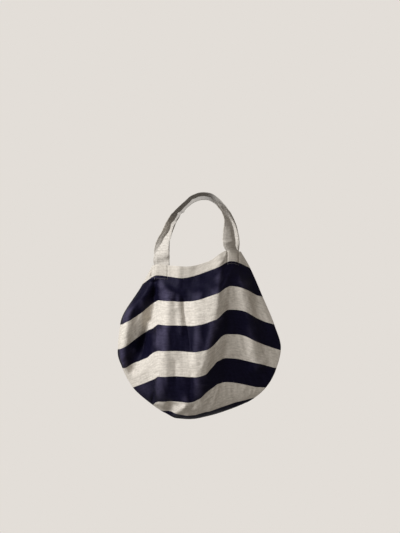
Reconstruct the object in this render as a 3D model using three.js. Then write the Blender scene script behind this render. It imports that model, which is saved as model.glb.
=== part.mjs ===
// A large, soft, round-bottomed linen tote bag, hanging from its two handles.
// Millimetres. X runs to the right, Y to the back, Z up. The origin is the point under the
// tops of the two handles where something would hold them.

import * as THREE from "three";

// Driving dimensions of the cloth
const clothThickness = 2;
const seamGap = 0.3;
const flatLength = 545;
const strapWidth = 50;
const strapThickness = 2.4;
const strapEnd = 42;
const strapClearance = 1.5;

// How finely the surfaces are stepped. Steps across crowd towards the seams, and steps down
// crowd towards the bottom, where the cloth turns hardest.
const panelColumns = 46;
const panelRows = 28;
const crowdingAcross = 0.6;
const crowdingDown = 0.35;
const strapSpans = 4;
const strapSteps = 42;
const endSteps = 4;

const { clamp, degToRad, lerp } = THREE.MathUtils;
const smoothStep = (t) => THREE.MathUtils.smoothstep(t, 0, 1);

// A table's rows as records, with its columns for names
function named(columns, rows) {
  return rows.map((row) => Object.fromEntries(columns.map((column, k) => [column, row[k]])));
}

// Each panel hangs in sections, one for each edge of a woven stripe, from the mouth down to the
// bottom seam. A section's first value is its distance below the mouth on the flat cloth. The
// others follow the lines that run down the cloth: the left seam, the fold under the left
// handle, the slack middle, the lip where the cloth turns away, the crest where it hangs from the
// right handle, and the right seam.
const lines = ["seamLeft", "fold", "sag", "lip", "crest", "seamRight"];
const sectionColumns = ["flat", ...lines];

const acrossFront = named(sectionColumns, [
  [0, -158, -140, -53, 15, 78, 119],
  [31, -190, -146, -53, 31, 87, 149],
  [111, -260, -139, -34, 42, 83, 188],
  [191, -269, -138, -40, 39, 77, 224],
  [271, -255, -138, -31, 15, 77, 245],
  [351, -220, -132, -40, 0, 71, 229],
  [431, -160, -134, -40, -13, 77, 199],
  [511, -130, -97, -41, 22, 91, 158],
  [545, -110, -85, -41, 22, 85, 139],
]);

const heightFront = named(sectionColumns, [
  [0, -219, -216, -222, -207, -172, -175],
  [31, -277, -251, -257, -233, -205, -227],
  [111, -398, -324, -324, -303, -278, -317],
  [191, -488, -401, -402, -383, -357, -403],
  [271, -538, -478, -479, -469, -428, -476],
  [351, -602, -560, -558, -552, -505, -546],
  [431, -654, -638, -634, -624, -576, -600],
  [511, -674, -681, -687, -676, -655, -636],
  [545, -684, -697, -700, -689, -669, -647],
]);

const depthFront = named(sectionColumns, [
  [0, 0, 30, 46, 44, 32, 0],
  [31, 0, 38, 52, 56, 36, 0],
  [111, 0, 62, 80, 94, 60, 0],
  [191, 0, 68, 88, 100, 62, 0],
  [271, 0, 74, 98, 102, 64, 0],
  [351, 0, 64, 94, 94, 54, 0],
  [431, 0, 36, 78, 80, 48, 0],
  [511, 0, 14, 32, 32, 20, 0],
  [545, 0, 0, 0, 0, 0, 0],
]);

// The back panel shares the seam and hangs flatter and slacker between its handle's ends
const acrossBack = named(sectionColumns, [
  [0, -158, -140, -53, 15, 78, 119],
  [31, -190, -144, -50, 28, 87, 149],
  [111, -260, -146, -50, 28, 90, 188],
  [191, -269, -146, -50, 28, 92, 224],
  [271, -255, -144, -50, 24, 92, 245],
  [351, -220, -136, -46, 16, 84, 229],
  [431, -160, -118, -42, 14, 78, 199],
  [511, -130, -97, -41, 22, 88, 158],
  [545, -110, -85, -41, 22, 85, 139],
]);

const heightBack = named(sectionColumns, [
  [0, -219, -217, -229, -214, -176, -175],
  [31, -277, -252, -262, -246, -209, -227],
  [111, -398, -334, -340, -326, -286, -317],
  [191, -488, -416, -419, -405, -366, -403],
  [271, -538, -490, -496, -483, -440, -476],
  [351, -602, -568, -574, -560, -516, -546],
  [431, -654, -640, -642, -628, -586, -600],
  [511, -674, -681, -686, -676, -654, -636],
  [545, -684, -697, -700, -689, -669, -647],
]);

const depthBack = named(sectionColumns, [
  [0, 0, 24, 30, 28, 20, 0],
  [31, 0, 30, 36, 34, 25, 0],
  [111, 0, 44, 48, 46, 36, 0],
  [191, 0, 52, 58, 56, 46, 0],
  [271, 0, 54, 64, 62, 50, 0],
  [351, 0, 46, 60, 60, 48, 0],
  [431, 0, 30, 48, 50, 36, 0],
  [511, 0, 12, 22, 24, 16, 0],
  [545, 0, 0, 0, 0, 0, 0],
]);

// Folds laid over the sections. Each runs down the cloth as a soft ridge, or as a trough where
// its rise is negative, between two distances below the mouth.
const foldColumns = ["acrossTop", "acrossBottom", "width", "rise", "from", "to"];
const foldFadeIn = 50;
const foldFadeOut = 90;
const foldFadeAtSeam = 14;

const foldsFront = named(foldColumns, [
  [-218, -302, 27, 34, 70, 350],
  [-138, -240, 23, -32, 70, 325],
  [-98, -144, 24, 22, 70, 470],
  [-66, -106, 22, 6, 70, 460],
  [-14, -18, 18, 7, 8, 470],
  [64, 8, 16, -6, 66, 400],
  [108, 196, 24, 10, 70, 400],
  [-73, -50, 18, 10, 400, 530],
]);

const foldsBack = named(foldColumns, [
  [-128, -188, 24, 9, 70, 360],
  [-92, -120, 22, -8, 70, 400],
  [-10, -30, 34, 8, 60, 480],
  [62, 96, 22, 10, 70, 380],
  [96, 168, 20, -8, 70, 330],
  [24, 40, 18, -6, 30, 300],
]);

const panels = {
  front: { side: -1, across: acrossFront, height: heightFront, depth: depthFront, folds: foldsFront },
  back: { side: 1, across: acrossBack, height: heightBack, depth: depthBack, folds: foldsBack },
};

// The seam isn't flat: it wanders to the front and the back on its way round the bag
const seamWander = { reach: 7, waveAcross: 620, waveDown: 840, start: 0.6 };

// A strap's free part, from above its left end over the top to above its right end: the middle
// of the strap, and which way its near edge lies, as a turn about the upright and a dip
const stationColumns = ["across", "out", "height", "turn", "dip"];

const strapFront = {
  panel: panels.front,
  ends: { left: [-153, -107], right: [113, 72] },
  stations: named(stationColumns, [
    [-130, -33, -196, 4, 0],
    [-129, -31, -166, -20, 0],
    [-116, -29, -138, -60, 2],
    [-103, -27, -110, -80, 6],
    [-92, -26, -84, -86, 10],
    [-76, -26, -59, -88, 13],
    [-53, -25, -34, -89, 15],
    [-28, -25, -14, -90, 17],
    [0, -25, -5, -90, 18],
    [25, -25, -10, -91, 16],
    [45, -25, -27, -92, 8],
    [62, -25, -49, -94, 4],
    [76, -25, -76, -104, 2],
    [82, -25, -107, -122, 0],
    [86, -23, -138, -134, 0],
    [90, -21, -158, -140, 0],
  ]),
};

const strapBack = {
  panel: panels.back,
  ends: { left: [-107, -153], right: [72, 113] },
  stations: named(stationColumns, [
    [-131, 20, -196, -178, 0],
    [-131, 20, -165, -168, 0],
    [-127, 21, -136, -152, 0],
    [-115, 22, -108, -138, -2],
    [-101, 24, -77, -129, -4],
    [-84, 26, -50, -120, -6],
    [-62, 28, -25, -106, -8],
    [-33, 30, 1, -95, -11],
    [0, 31, 10, -90, -13],
    [29, 31, 4, -86, -12],
    [53, 30, -16, -76, -8],
    [72, 28, -42, -66, -3],
    [87, 26, -72, -58, 0],
    [94, 25, -104, -48, 0],
    [97, 22, -136, -42, 0],
    [97, 18, -156, -38, 0],
  ]),
};

// Smooth curve through a few values that never overshoots them
function smoothThrough(places, values, place) {
  const last = places.length - 1;
  const at = clamp(place, places[0], places[last]);
  const slopes = places.slice(1).map((p, k) => (values[k + 1] - values[k]) / (p - places[k]));
  const tangent = (k) => {
    if (k === 0) return slopes[0];
    if (k === last) return slopes[last - 1];
    const before = slopes[k - 1];
    const after = slopes[k];
    return before * after <= 0 ? 0 : (2 * before * after) / (before + after);
  };
  const next = places.findIndex((p, k) => k > 0 && at <= p);
  const span = places[next] - places[next - 1];
  const t = (at - places[next - 1]) / span;
  const leaving = t * (1 - t) * (1 - t) * span * tangent(next - 1);
  const arriving = t * t * (1 - t) * span * tangent(next);
  return lerp(values[next - 1], values[next], smoothStep(t)) + leaving - arriving;
}

// A panel's section at any distance below the mouth, from its tables
function panelSection(panel, flat) {
  const along = (table) => lines.map((line) => {
    return smoothThrough(table.map((row) => row.flat), table.map((row) => row[line]), flat);
  });
  return { across: along(panel.across), height: along(panel.height), depth: along(panel.depth) };
}

// How far the folds raise the cloth at a place, fading out at both seams
function foldRise(folds, section, across, flat) {
  let rise = 0;
  for (const fold of folds) {
    const centre = lerp(fold.acrossTop, fold.acrossBottom, flat / flatLength);
    const profile = Math.exp(-(((across - centre) / fold.width) ** 2));
    const fadeIn = smoothStep((flat - fold.from) / foldFadeIn + 0.4);
    const fadeOut = smoothStep((fold.to - flat) / foldFadeOut);
    rise += fold.rise * profile * fadeIn * fadeOut;
  }
  const fromSeam = Math.min(across - section.across[0], section.across.at(-1) - across);
  return rise * smoothStep(fromSeam / foldFadeAtSeam);
}

function seamShift(across, height) {
  const acrossWave = Math.sin((2 * Math.PI * across) / seamWander.waveAcross + seamWander.start);
  const downWave = Math.cos((2 * Math.PI * height) / seamWander.waveDown);
  return seamWander.reach * acrossWave * downWave;
}

// A point on the inner face of a panel, at a place across and a distance below the mouth
function panelPoint(panel, across, flat, section = panelSection(panel, flat)) {
  const height = smoothThrough(section.across, section.height, across);
  const belly = smoothThrough(section.across, section.depth, across);
  const depth = Math.max(belly + foldRise(panel.folds, section, across, flat), 0);
  const out = seamShift(across, height) + panel.side * (seamGap / 2 + depth);
  return new THREE.Vector3(across, out, height);
}

// Which way each point of a net of rows looks, from the faces that meet there
function netNormals(net, side) {
  const normals = net.map((row) => row.map(() => new THREE.Vector3()));
  for (let j = 0; j < net.length - 1; j += 1) {
    for (let i = 0; i < net[j].length - 1; i += 1) {
      const downRight = new THREE.Vector3().subVectors(net[j + 1][i + 1], net[j][i]);
      const downLeft = new THREE.Vector3().subVectors(net[j + 1][i], net[j][i + 1]);
      const faceNormal = downRight.cross(downLeft).multiplyScalar(side);
      for (const [row, column] of [[j, i], [j, i + 1], [j + 1, i], [j + 1, i + 1]]) {
        normals[row][column].add(faceNormal);
      }
    }
  }
  return normals.map((row) => row.map((normal) => normal.normalize()));
}

// A net of points moved along its normals
function movedNet(net, normals, distance) {
  return net.map((row, j) => row.map((point, i) => {
    return point.clone().addScaledVector(normals[j][i], distance);
  }));
}

// A closed sheet between two nets of the same size, its faces looking out. Each square of a net
// is split along its shorter diagonal.
function sheetBetween(outer, inner) {
  const rows = outer.length;
  const columns = outer[0].length;
  const positions = [...outer, ...inner].flat().flatMap((point) => point.toArray());
  const outerAt = (j, i) => j * columns + i;
  const innerAt = (j, i) => (rows + j) * columns + i;
  const faces = [];
  const quad = (a, b, c, d) => faces.push(a, b, c, a, c, d);
  for (let j = 0; j < rows - 1; j += 1) {
    for (let i = 0; i < columns - 1; i += 1) {
      const downRight = outer[j][i].distanceTo(outer[j + 1][i + 1]);
      const downLeft = outer[j][i + 1].distanceTo(outer[j + 1][i]);
      if (downRight < downLeft) {
        quad(outerAt(j, i), outerAt(j + 1, i), outerAt(j + 1, i + 1), outerAt(j, i + 1));
        quad(innerAt(j, i), innerAt(j, i + 1), innerAt(j + 1, i + 1), innerAt(j + 1, i));
      } else {
        quad(outerAt(j + 1, i), outerAt(j + 1, i + 1), outerAt(j, i + 1), outerAt(j, i));
        quad(innerAt(j, i + 1), innerAt(j + 1, i + 1), innerAt(j + 1, i), innerAt(j, i));
      }
    }
  }
  const foot = rows - 1;
  for (let i = 0; i < columns - 1; i += 1) {
    quad(outerAt(0, i), outerAt(0, i + 1), innerAt(0, i + 1), innerAt(0, i));
    quad(outerAt(foot, i + 1), outerAt(foot, i), innerAt(foot, i), innerAt(foot, i + 1));
  }
  const end = columns - 1;
  for (let j = 0; j < rows - 1; j += 1) {
    quad(outerAt(j + 1, 0), outerAt(j, 0), innerAt(j, 0), innerAt(j + 1, 0));
    quad(outerAt(j, end), outerAt(j + 1, end), innerAt(j + 1, end), innerAt(j, end));
  }
  const geometry = new THREE.BufferGeometry();
  geometry.setAttribute("position", new THREE.Float32BufferAttribute(positions, 3));
  geometry.setIndex(facesTurnedOut(outer, inner, faces));
  geometry.computeVertexNormals();
  return geometry;
}

// The same faces, each turned over if together they enclose less than nothing
function facesTurnedOut(outer, inner, faces) {
  const points = [...outer, ...inner].flat();
  let volume = 0;
  for (let k = 0; k < faces.length; k += 3) {
    const [a, b, c] = [0, 1, 2].map((corner) => points[faces[k + corner]]);
    volume += a.dot(b.clone().cross(c));
  }
  return volume < 0 ? faces.toReversed() : faces;
}

function crowded(step, steps) {
  const even = step / steps;
  return lerp(even, (1 - Math.cos(Math.PI * even)) / 2, crowdingAcross);
}

function panelGeometry(panel) {
  const inner = [];
  for (let j = 0; j <= panelRows; j += 1) {
    const even = j / panelRows;
    const flat = flatLength * lerp(even, Math.sin((even * Math.PI) / 2), crowdingDown);
    const section = panelSection(panel, flat);
    const row = [];
    for (let i = 0; i <= panelColumns; i += 1) {
      const across = lerp(section.across[0], section.across.at(-1), crowded(i, panelColumns));
      row.push(panelPoint(panel, across, flat, section));
    }
    inner.push(row);
  }
  const outer = movedNet(inner, netNormals(inner, panel.side), clothThickness);
  return sheetBetween(outer, inner);
}

// Which way a panel's outer face looks at a place on it
function panelNormal(panel, across, flat) {
  const reach = 1.5;
  const up = panelPoint(panel, across, Math.max(flat - reach, 0));
  const down = panelPoint(panel, across, flat + reach);
  const left = panelPoint(panel, across - reach, flat);
  const right = panelPoint(panel, across + reach, flat);
  return right.sub(left).cross(down.sub(up)).normalize().multiplyScalar(panel.side);
}

// One rung of a sewn end, which lies against the inner face of its panel
function sewnRung(panel, [from, to], flat) {
  const rung = [];
  for (let k = 0; k <= strapSpans; k += 1) {
    const across = lerp(from, to, k / strapSpans);
    const normal = panelNormal(panel, across, flat);
    rung.push(panelPoint(panel, across, flat).addScaledVector(normal, -strapClearance));
  }
  return rung;
}

const rungMiddle = (rung) => rung[strapSpans / 2];
const rungDirection = (rung) => rung.at(-1).clone().sub(rung[0]).normalize();

function straightRung(middle, direction) {
  const rung = [];
  for (let k = 0; k <= strapSpans; k += 1) {
    rung.push(middle.clone().addScaledVector(direction, (k / strapSpans - 0.5) * strapWidth));
  }
  return rung;
}

// How a curved rung differs from the straight one with its middle and direction
function rungBow(rung) {
  const straight = straightRung(rungMiddle(rung), rungDirection(rung));
  return rung.map((point, k) => point.clone().sub(straight[k]));
}

function stationDirection({ turn, dip }) {
  const level = Math.cos(degToRad(dip));
  const turned = degToRad(turn);
  return new THREE.Vector3(
    Math.cos(turned) * level,
    Math.sin(turned) * level,
    -Math.sin(degToRad(dip)),
  );
}

// The rungs of a strap's free part, which leave the two sewn rungs at the mouth smoothly
function freeRungs(stations, leftRung, rightRung) {
  const middles = stations.map(({ across, out, height }) => new THREE.Vector3(across, out, height));
  const route = new THREE.CatmullRomCurve3([rungMiddle(leftRung), ...middles, rungMiddle(rightRung)]);
  const directions = [
    rungDirection(leftRung),
    ...stations.map(stationDirection),
    rungDirection(rightRung),
  ];
  const leftBow = rungBow(leftRung);
  const rightBow = rungBow(rightRung);
  const lastStation = directions.length - 1;
  const bowReach = 2;
  const rungs = [];
  for (let j = 1; j < strapSteps; j += 1) {
    const station = (j / strapSteps) * lastStation;
    const before = Math.floor(station);
    const direction = directions[before].clone();
    direction.lerp(directions[before + 1], station - before).normalize();
    const leftShare = 1 - smoothStep(station / bowReach);
    const rightShare = 1 - smoothStep((lastStation - station) / bowReach);
    const rung = straightRung(route.getPoint(j / strapSteps), direction);
    rungs.push(rung.map((point, k) => {
      return point.addScaledVector(leftBow[k], leftShare).addScaledVector(rightBow[k], rightShare);
    }));
  }
  return rungs;
}

function strapGeometry({ panel, ends, stations }) {
  const endFlats = Array.from({ length: endSteps + 1 }, (_, j) => (strapEnd * j) / endSteps);
  const left = endFlats.toReversed().map((flat) => sewnRung(panel, ends.left, flat));
  const right = endFlats.map((flat) => sewnRung(panel, ends.right, flat));
  const outer = [...left, ...freeRungs(stations, left.at(-1), right[0]), ...right];
  const inner = movedNet(outer, netNormals(outer, 1), -strapThickness);
  return sheetBetween(outer, inner);
}

const bag = new THREE.Group();

function addPiece(name, geometry, cloth) {
  const mesh = new THREE.Mesh(geometry, new THREE.MeshStandardMaterial({ ...cloth, metalness: 0 }));
  mesh.name = name;
  bag.add(mesh);
}

const stripedLinen = { color: 0x7d7878, roughness: 0.9 };
const plainLinen = { color: 0xcfc4b4, roughness: 0.92 };

addPiece("front_panel", panelGeometry(panels.front), stripedLinen);
addPiece("back_panel", panelGeometry(panels.back), stripedLinen);
addPiece("front_handle", strapGeometry(strapFront), plainLinen);
addPiece("back_handle", strapGeometry(strapBack), plainLinen);

export default bag;
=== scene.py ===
# A striped linen tote bag, hanging open from its two handles.
import math

import bpy
import numpy as np
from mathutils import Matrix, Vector, noise


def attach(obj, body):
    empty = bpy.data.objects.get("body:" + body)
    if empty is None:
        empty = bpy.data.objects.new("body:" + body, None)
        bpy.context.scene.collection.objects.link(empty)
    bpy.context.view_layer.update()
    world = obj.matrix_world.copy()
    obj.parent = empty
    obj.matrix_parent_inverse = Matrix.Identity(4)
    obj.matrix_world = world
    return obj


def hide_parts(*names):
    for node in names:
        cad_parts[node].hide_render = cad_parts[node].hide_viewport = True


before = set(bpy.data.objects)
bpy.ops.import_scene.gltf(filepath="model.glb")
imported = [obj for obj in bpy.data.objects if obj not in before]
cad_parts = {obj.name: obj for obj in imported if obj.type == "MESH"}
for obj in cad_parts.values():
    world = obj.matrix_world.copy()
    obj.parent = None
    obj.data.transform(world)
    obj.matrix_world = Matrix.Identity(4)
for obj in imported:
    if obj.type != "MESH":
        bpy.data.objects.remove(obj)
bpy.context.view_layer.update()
mm = 0.001
print("frame loaded")

# How the cloth hangs, in millimetres: the same sections as the solids have. A section is one edge
# of a woven stripe, at a distance below the mouth on the flat cloth. For each of them the tables
# give the places of six lines that run down the cloth: left seam, fold under the left handle,
# slack middle, lip, crest under the right handle, right seam.

flatLength = 545
seamGap = 0.3
sectionFlats = [0, 31, 111, 191, 271, 351, 431, 511, 545]

# the left and the right seam, where the two panels meet
seamLines = {
    "across": [
        [-158, -190, -260, -269, -255, -220, -160, -130, -110],
        [119, 149, 188, 224, 245, 229, 199, 158, 139],
    ],
    "height": [
        [-219, -277, -398, -488, -538, -602, -654, -674, -684],
        [-175, -227, -317, -403, -476, -546, -600, -636, -647],
    ],
    "depth": [[0] * 9, [0] * 9],
}

frontHang = {
    "side": -1,
    "across": [
        [-140, -146, -139, -138, -138, -132, -134, -97, -85],
        [-53, -53, -34, -40, -31, -40, -40, -41, -41],
        [15, 31, 42, 39, 15, 0, -13, 22, 22],
        [78, 87, 83, 77, 77, 71, 77, 91, 85],
    ],
    "height": [
        [-216, -251, -324, -401, -478, -560, -638, -681, -697],
        [-222, -257, -324, -402, -479, -558, -634, -687, -700],
        [-207, -233, -303, -383, -469, -552, -624, -676, -689],
        [-172, -205, -278, -357, -428, -505, -576, -655, -669],
    ],
    "depth": [
        [30, 38, 62, 68, 74, 64, 36, 14, 0],
        [46, 52, 80, 88, 98, 94, 78, 32, 0],
        [44, 56, 94, 100, 102, 94, 80, 32, 0],
        [32, 36, 60, 62, 64, 54, 48, 20, 0],
    ],
    # folds: across at the mouth, across at the bottom, width, rise, from, to
    "folds": [
        [-218, -302, 27, 34, 70, 350],
        [-138, -240, 23, -32, 70, 325],
        [-98, -144, 24, 22, 70, 470],
        [-66, -106, 22, 6, 70, 460],
        [-14, -18, 18, 7, 8, 470],
        [64, 8, 16, -6, 66, 400],
        [108, 196, 24, 10, 70, 400],
        [-73, -50, 18, 10, 400, 530],
    ],
}

backHang = {
    "side": 1,
    "across": [
        [-140, -144, -146, -146, -144, -136, -118, -97, -85],
        [-53, -50, -50, -50, -50, -46, -42, -41, -41],
        [15, 28, 28, 28, 24, 16, 14, 22, 22],
        [78, 87, 90, 92, 92, 84, 78, 88, 85],
    ],
    "height": [
        [-217, -252, -334, -416, -490, -568, -640, -681, -697],
        [-229, -262, -340, -419, -496, -574, -642, -686, -700],
        [-214, -246, -326, -405, -483, -560, -628, -676, -689],
        [-176, -209, -286, -366, -440, -516, -586, -654, -669],
    ],
    "depth": [
        [24, 30, 44, 52, 54, 46, 30, 12, 0],
        [30, 36, 48, 58, 64, 60, 48, 22, 0],
        [28, 34, 46, 56, 62, 60, 50, 24, 0],
        [20, 25, 36, 46, 50, 48, 36, 16, 0],
    ],
    "folds": [
        [-128, -188, 24, 9, 70, 360],
        [-92, -120, 22, -8, 70, 400],
        [-10, -30, 34, 8, 60, 480],
        [62, 96, 22, 10, 70, 380],
        [96, 168, 20, -8, 70, 330],
        [24, 40, 18, -6, 30, 300],
    ],
}

foldFade = {"in": 50, "inStart": 0.4, "out": 90, "seam": 14}
seamWander = {"reach": 7, "waveAcross": 620, "waveDown": 840, "start": 0.6}


def smoothStep(t):
    t = np.clip(t, 0, 1)
    return t * t * (3 - 2 * t)


def bell(t):
    return np.exp(-t ** 2)


def mixOf(a, b, t):
    return a + (b - a) * t


def smoothThrough(places, values, at):
    # a smooth curve through a few values that never overshoots them
    places, values = np.asarray(places, float), np.asarray(values, float)
    slopes = np.diff(values) / np.diff(places)
    before, after = slopes[:-1], slopes[1:]
    level = before * after <= 0
    tangents = np.empty(len(values))
    tangents[0], tangents[-1] = slopes[0], slopes[-1]
    tangents[1:-1] = np.where(level, 0, 2 * before * after / np.where(level, 1, before + after))
    at = np.clip(at, places[0], places[-1])
    after = np.clip(np.searchsorted(places, at), 1, len(places) - 1)
    before = after - 1
    width = places[after] - places[before]
    t = (at - places[before]) / width
    leaving = t * (1 - t) ** 2 * width * tangents[before]
    arriving = t * t * (1 - t) * width * tangents[after]
    return mixOf(values[before], values[after], smoothStep(t)) + leaving - arriving


def sectionAt(hang, flat):
    section = {}
    for table, (left, right) in seamLines.items():
        lines = [left, *hang[table], right]
        section[table] = np.array([smoothThrough(sectionFlats, line, flat) for line in lines])
    return section


def foldRise(hang, section, across, flat):
    rise = np.zeros_like(across)
    for top, bottom, width, height, start, end in hang["folds"]:
        centre = mixOf(top, bottom, flat / flatLength)
        fadeIn = smoothStep((flat - start) / foldFade["in"] + foldFade["inStart"])
        fadeOut = smoothStep((end - flat) / foldFade["out"])
        rise += height * fadeIn * fadeOut * bell((across - centre) / width)
    fromSeam = np.minimum(across - section["across"][0], section["across"][-1] - across)
    return rise * smoothStep(fromSeam / foldFade["seam"])


def panelRow(hang, across, flat, section=None):
    # points on the inner face of a panel, at one distance below the mouth
    section = section or sectionAt(hang, flat)
    height = smoothThrough(section["across"], section["height"], across)
    belly = smoothThrough(section["across"], section["depth"], across)
    depth = np.maximum(belly + foldRise(hang, section, across, flat), 0)
    acrossWave = np.sin(2 * np.pi * across / seamWander["waveAcross"] + seamWander["start"])
    downWave = np.cos(2 * np.pi * height / seamWander["waveDown"])
    shift = seamWander["reach"] * acrossWave * downWave
    return np.stack([across, shift + hang["side"] * (seamGap / 2 + depth), height], 1)


def netNormals(net, side):
    downRight = net[1:, 1:] - net[:-1, :-1]
    downLeft = net[1:, :-1] - net[:-1, 1:]
    faces = np.cross(downRight, downLeft) * side
    normals = np.zeros_like(net)
    normals[:-1, :-1] += faces
    normals[:-1, 1:] += faces
    normals[1:, :-1] += faces
    normals[1:, 1:] += faces
    return normals / np.linalg.norm(normals, axis=2, keepdims=True)


def runAlong(net, axis):
    # distance along a net's rows or columns, from their start
    steps = np.linalg.norm(np.diff(net, axis=axis), axis=2)
    start = np.zeros_like(steps[:1] if axis == 0 else steps[:, :1])
    return np.concatenate([start, np.cumsum(steps, axis=axis)], axis=axis)


def noiseOver(*coordinates):
    flat = [np.broadcast_to(c, coordinates[0].shape).ravel() for c in coordinates]
    values = [noise.noise(place) for place in zip(*flat)]
    return np.array(values).reshape(coordinates[0].shape)


creaseForm = {"endStart": 0.05, "stepReach": 3}


def creaseRise(net, crease):
    # how far a crease lifts each place of a net; its line is given as seen from the front
    width, height, fade, route, *form = crease
    place = net[..., [0, 2]]
    nearest = np.full(net.shape[:2], 1e9)
    signed = np.zeros(net.shape[:2])
    along = np.zeros(net.shape[:2])
    passed = 0
    route = np.array(route, float)
    for start, end in zip(route[:-1], route[1:]):
        run = end - start
        length = np.linalg.norm(run)
        share = np.clip((place - start) @ run / length ** 2, 0, 1)
        away = place - (start + share[..., None] * run)
        distance = np.linalg.norm(away, axis=2)
        side = np.sign(run[0] * away[..., 1] - run[1] * away[..., 0])
        closer = distance < nearest
        nearest = np.where(closer, distance, nearest)
        signed = np.where(closer, distance * side, signed)
        along = np.where(closer, passed + share * length, along)
        passed += length
    ends = smoothStep(along / fade + creaseForm["endStart"])
    ends *= smoothStep((passed - along) / fade + creaseForm["endStart"])
    if "step" in form:
        profile = np.tanh(signed / width) * bell(nearest / (width * creaseForm["stepReach"]))
    elif "sharp" in form:
        profile = np.exp(-(np.sqrt(nearest ** 2 + 1) - 1) / width)
    else:
        profile = bell(nearest / width)
    return height * profile * ends


def crumpleRise(across, down, crumple, seed):
    # unevenness in layers: amount, size across, size down, seed, and for ridges the level they fold at
    rise = 0
    for amount, wide, tall, step, *level in crumple:
        height = noiseOver(across / wide, down / tall, np.array(seed + step))
        if level:
            height = (level[0] - np.abs(height)) * 2
        rise = rise + amount * height
    return rise


def roundedEdge(fromEdge, reach):
    # from 0 at an edge to 1, like a quarter of a circle
    return np.sqrt(1 - (1 - np.clip(fromEdge / reach, 0, 1)) ** 2)


# Materials

def nodeGroup(name, kind, inputs, outputs):
    # an input is its label, its kind and, where it is a number, its value
    group = bpy.data.node_groups.new(name, kind)
    for side, rows in (("INPUT", inputs), ("OUTPUT", outputs)):
        for label, sort, *value in rows:
            socket = group.interface.new_socket(name=label, in_out=side, socket_type="NodeSocket" + sort)
            if value:
                socket.default_value = value[0]
    start = group.nodes.new("NodeGroupInput")
    end = group.nodes.new("NodeGroupOutput")
    return group, start.outputs, end.inputs


def feed(tree, node, inputs):
    # an input takes a link from a socket, or a fixed value
    for key, value in inputs.items():
        if isinstance(value, bpy.types.NodeSocket):
            tree.links.new(value, node.inputs[key])
        else:
            node.inputs[key].default_value = value


def nodeIn(tree, kind, inputs=None, **settings):
    node = tree.nodes.new(kind)
    for key, value in settings.items():
        setattr(node, key, value)
    feed(tree, node, inputs or {})
    return node


def calc(tree, operation, *values):
    return nodeIn(tree, "ShaderNodeMath", dict(enumerate(values)), operation=operation).outputs[0]


def cloudOf(tree, place, scale, detail=2.0, roughness=0.5, stretch=None):
    if stretch:
        place = nodeIn(tree, "ShaderNodeMapping", {"Vector": place, "Scale": stretch}).outputs[0]
    inputs = {"Vector": place, "Scale": scale, "Detail": detail, "Roughness": roughness}
    return nodeIn(tree, "ShaderNodeTexNoise", inputs).outputs["Fac"]


def mixColour(tree, factor, a, b):
    ends = [value if isinstance(value, bpy.types.NodeSocket) else (*value, 1) for value in (a, b)]
    return nodeIn(tree, "ShaderNodeMix", {0: factor, 6: ends[0], 7: ends[1]}, data_type="RGBA").outputs[2]


yarnLook = {
    # slubs in the yarns: share of the tone, then the noise's scale, detail, roughness and stretch
    "slubs": [
        (0.22, 1.0, 3.0, 0.6, (22, 620, 1)),
        (0.16, 1.0, 3.0, 0.6, (520, 16, 1)),
        (0.24, 1.0, 2.0, 0.5, (30, 250, 1)),
        (0.38, 110.0, 4.0, 0.7, (1, 1.6, 1)),
    ],
    "contrast": 4.2,
    "weaveRelief": 0.5,
    "slubRelief": 0.9,
    "stripeEdge": (1.0, 3.0, 0.7, (60, 6, 1)),
}


def linenYarnGroup():
    # Place is the cloth's own flat coordinates in metres: x across the yarns that run down, y down
    group, given, out = nodeGroup("linenYarn", "ShaderNodeTree", [
        ("Place", "Vector"),
        ("Yarn Pitch", "Float", 0.0008),
        ("Slub Contrast", "Float", 1.0),
    ], [("Tone", "Float"), ("Height", "Float")])
    split = nodeIn(group, "ShaderNodeSeparateXYZ", {"Vector": given["Place"]}).outputs
    turns = calc(group, "DIVIDE", math.pi, given["Yarn Pitch"])
    warp, weft = (calc(group, "SINE", calc(group, "MULTIPLY", split[axis], turns)) for axis in "XY")
    weave = calc(group, "MULTIPLY_ADD", calc(group, "MULTIPLY", warp, weft), 0.5, 0.5)
    slubs = 0.0
    for share, *cloud in yarnLook["slubs"]:
        slubs = calc(group, "MULTIPLY_ADD", cloudOf(group, given["Place"], *cloud), share, slubs)
    contrast = calc(group, "MULTIPLY", calc(group, "SUBTRACT", slubs, 0.5), yarnLook["contrast"])
    tone = calc(group, "MULTIPLY_ADD", contrast, given["Slub Contrast"], 0.5)
    group.links.new(nodeIn(group, "ShaderNodeClamp", {"Value": tone}).outputs[0], out["Tone"])
    relief = calc(group, "MULTIPLY", weave, yarnLook["weaveRelief"])
    group.links.new(calc(group, "MULTIPLY_ADD", slubs, yarnLook["slubRelief"], relief), out["Height"])
    return group


def stripeGroup():
    # Navy is 1 in every other stripe, counted from the edge of the hem band; Hem is 1 in that band
    group, given, out = nodeGroup("wovenStripes", "ShaderNodeTree", [
        ("Place", "Vector"),
        ("Hem Band", "Float", 0.031),
        ("Stripe", "Float", 0.08),
        ("Edge Waver", "Float", 0.0012),
    ], [("Navy", "Float"), ("Hem", "Float")])
    split = nodeIn(group, "ShaderNodeSeparateXYZ", {"Vector": given["Place"]}).outputs
    waver = calc(group, "SUBTRACT", cloudOf(group, given["Place"], *yarnLook["stripeEdge"]), 0.5)
    waver = calc(group, "MULTIPLY", waver, given["Edge Waver"])
    down = calc(group, "SUBTRACT", calc(group, "ADD", split["Y"], waver), given["Hem Band"])
    count = calc(group, "DIVIDE", down, given["Stripe"])
    even = calc(group, "LESS_THAN", calc(group, "MODULO", calc(group, "FLOOR", count), 2.0), 0.5)
    below = calc(group, "GREATER_THAN", count, 0.0)
    group.links.new(calc(group, "MULTIPLY", even, below), out["Navy"])
    group.links.new(calc(group, "SUBTRACT", 1.0, below), out["Hem"])
    return group


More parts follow.
